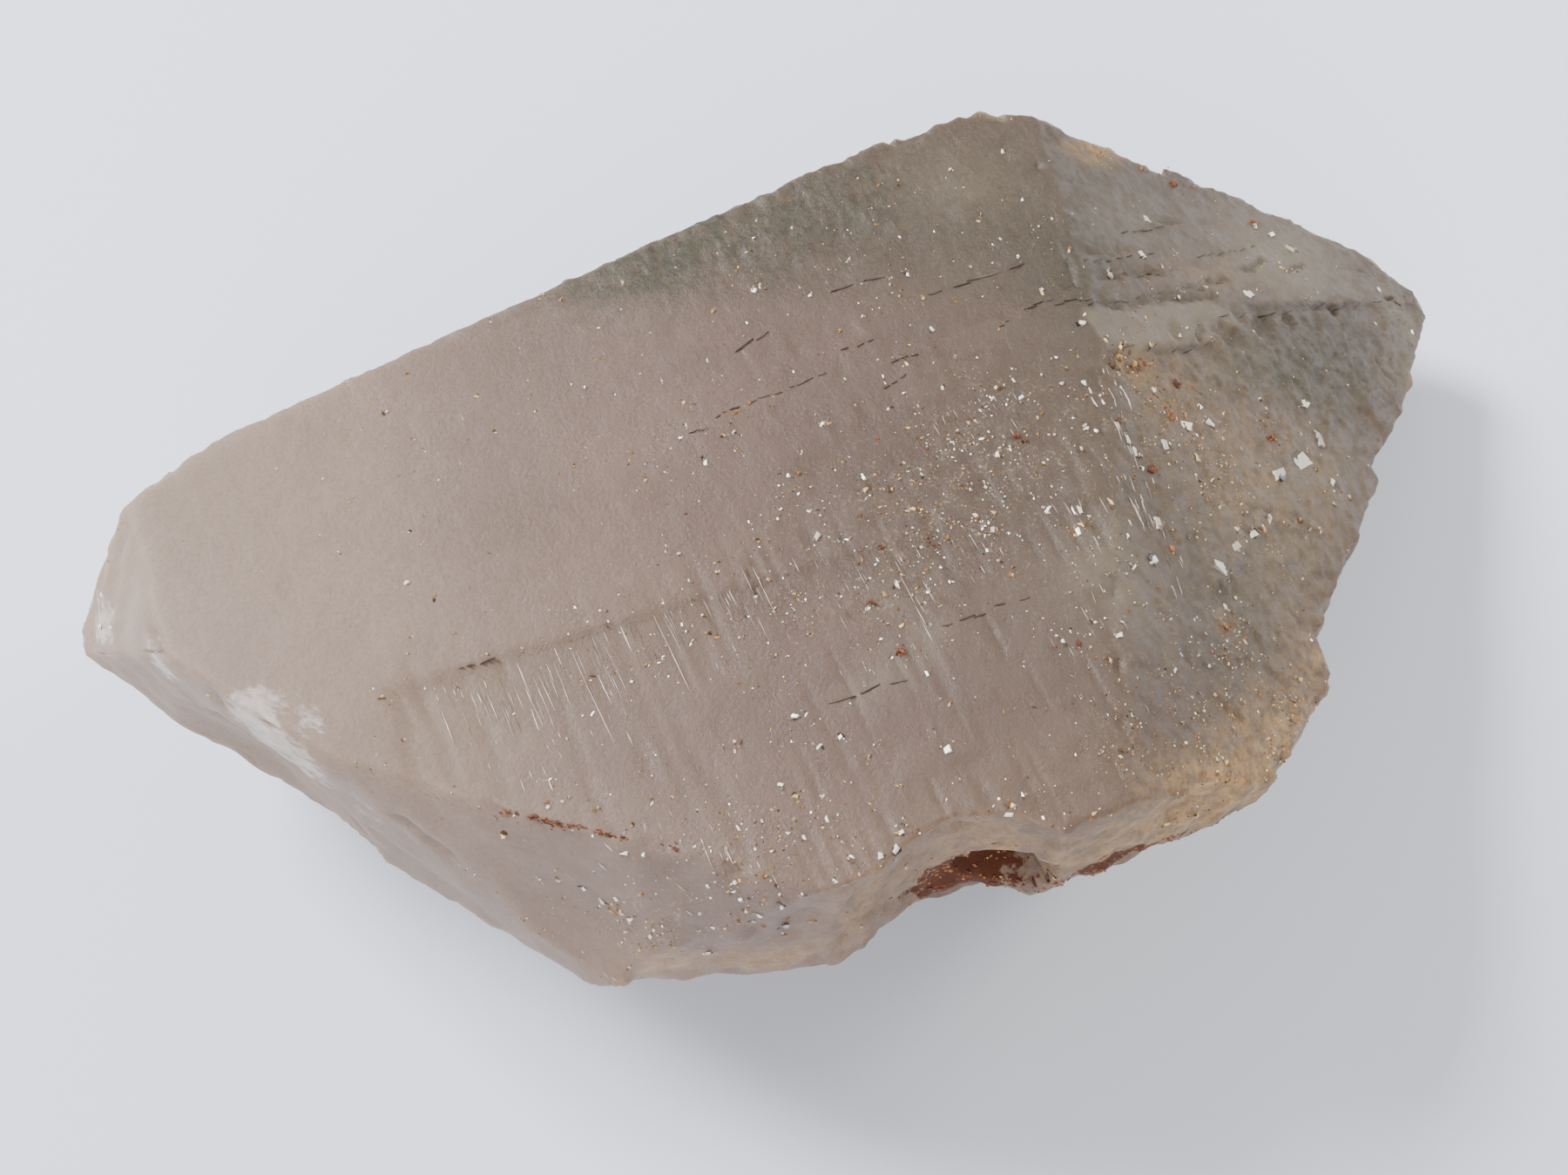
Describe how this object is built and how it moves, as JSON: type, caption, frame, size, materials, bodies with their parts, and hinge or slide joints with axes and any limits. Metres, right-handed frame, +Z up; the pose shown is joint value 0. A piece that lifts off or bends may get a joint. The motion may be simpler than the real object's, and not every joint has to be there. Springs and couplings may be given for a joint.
{
  "type": "smoky quartz crystal",
  "caption": "Broken, milky smoky quartz crystal with etched prism and termination faces, a blunt point and conchoidal breaks; lies on a flat underside as a display specimen.",
  "frame": {"origin": "Bottom centre of the bounding box, on the plane of the flat underside that the crystal lies on.", "axes": "+X along the crystal's long axis towards its blunt point, +Y towards the back prism face, +Z up through the uppermost prism face."},
  "size_m": [0.0908, 0.0514, 0.025],
  "materials": {
    "smoky_quartz": "etched, half matt, milky and translucent"
  },
  "bodies": {
    "root": {"smoky_quartz": "smoky_quartz"}
  },
  "joints": []
}
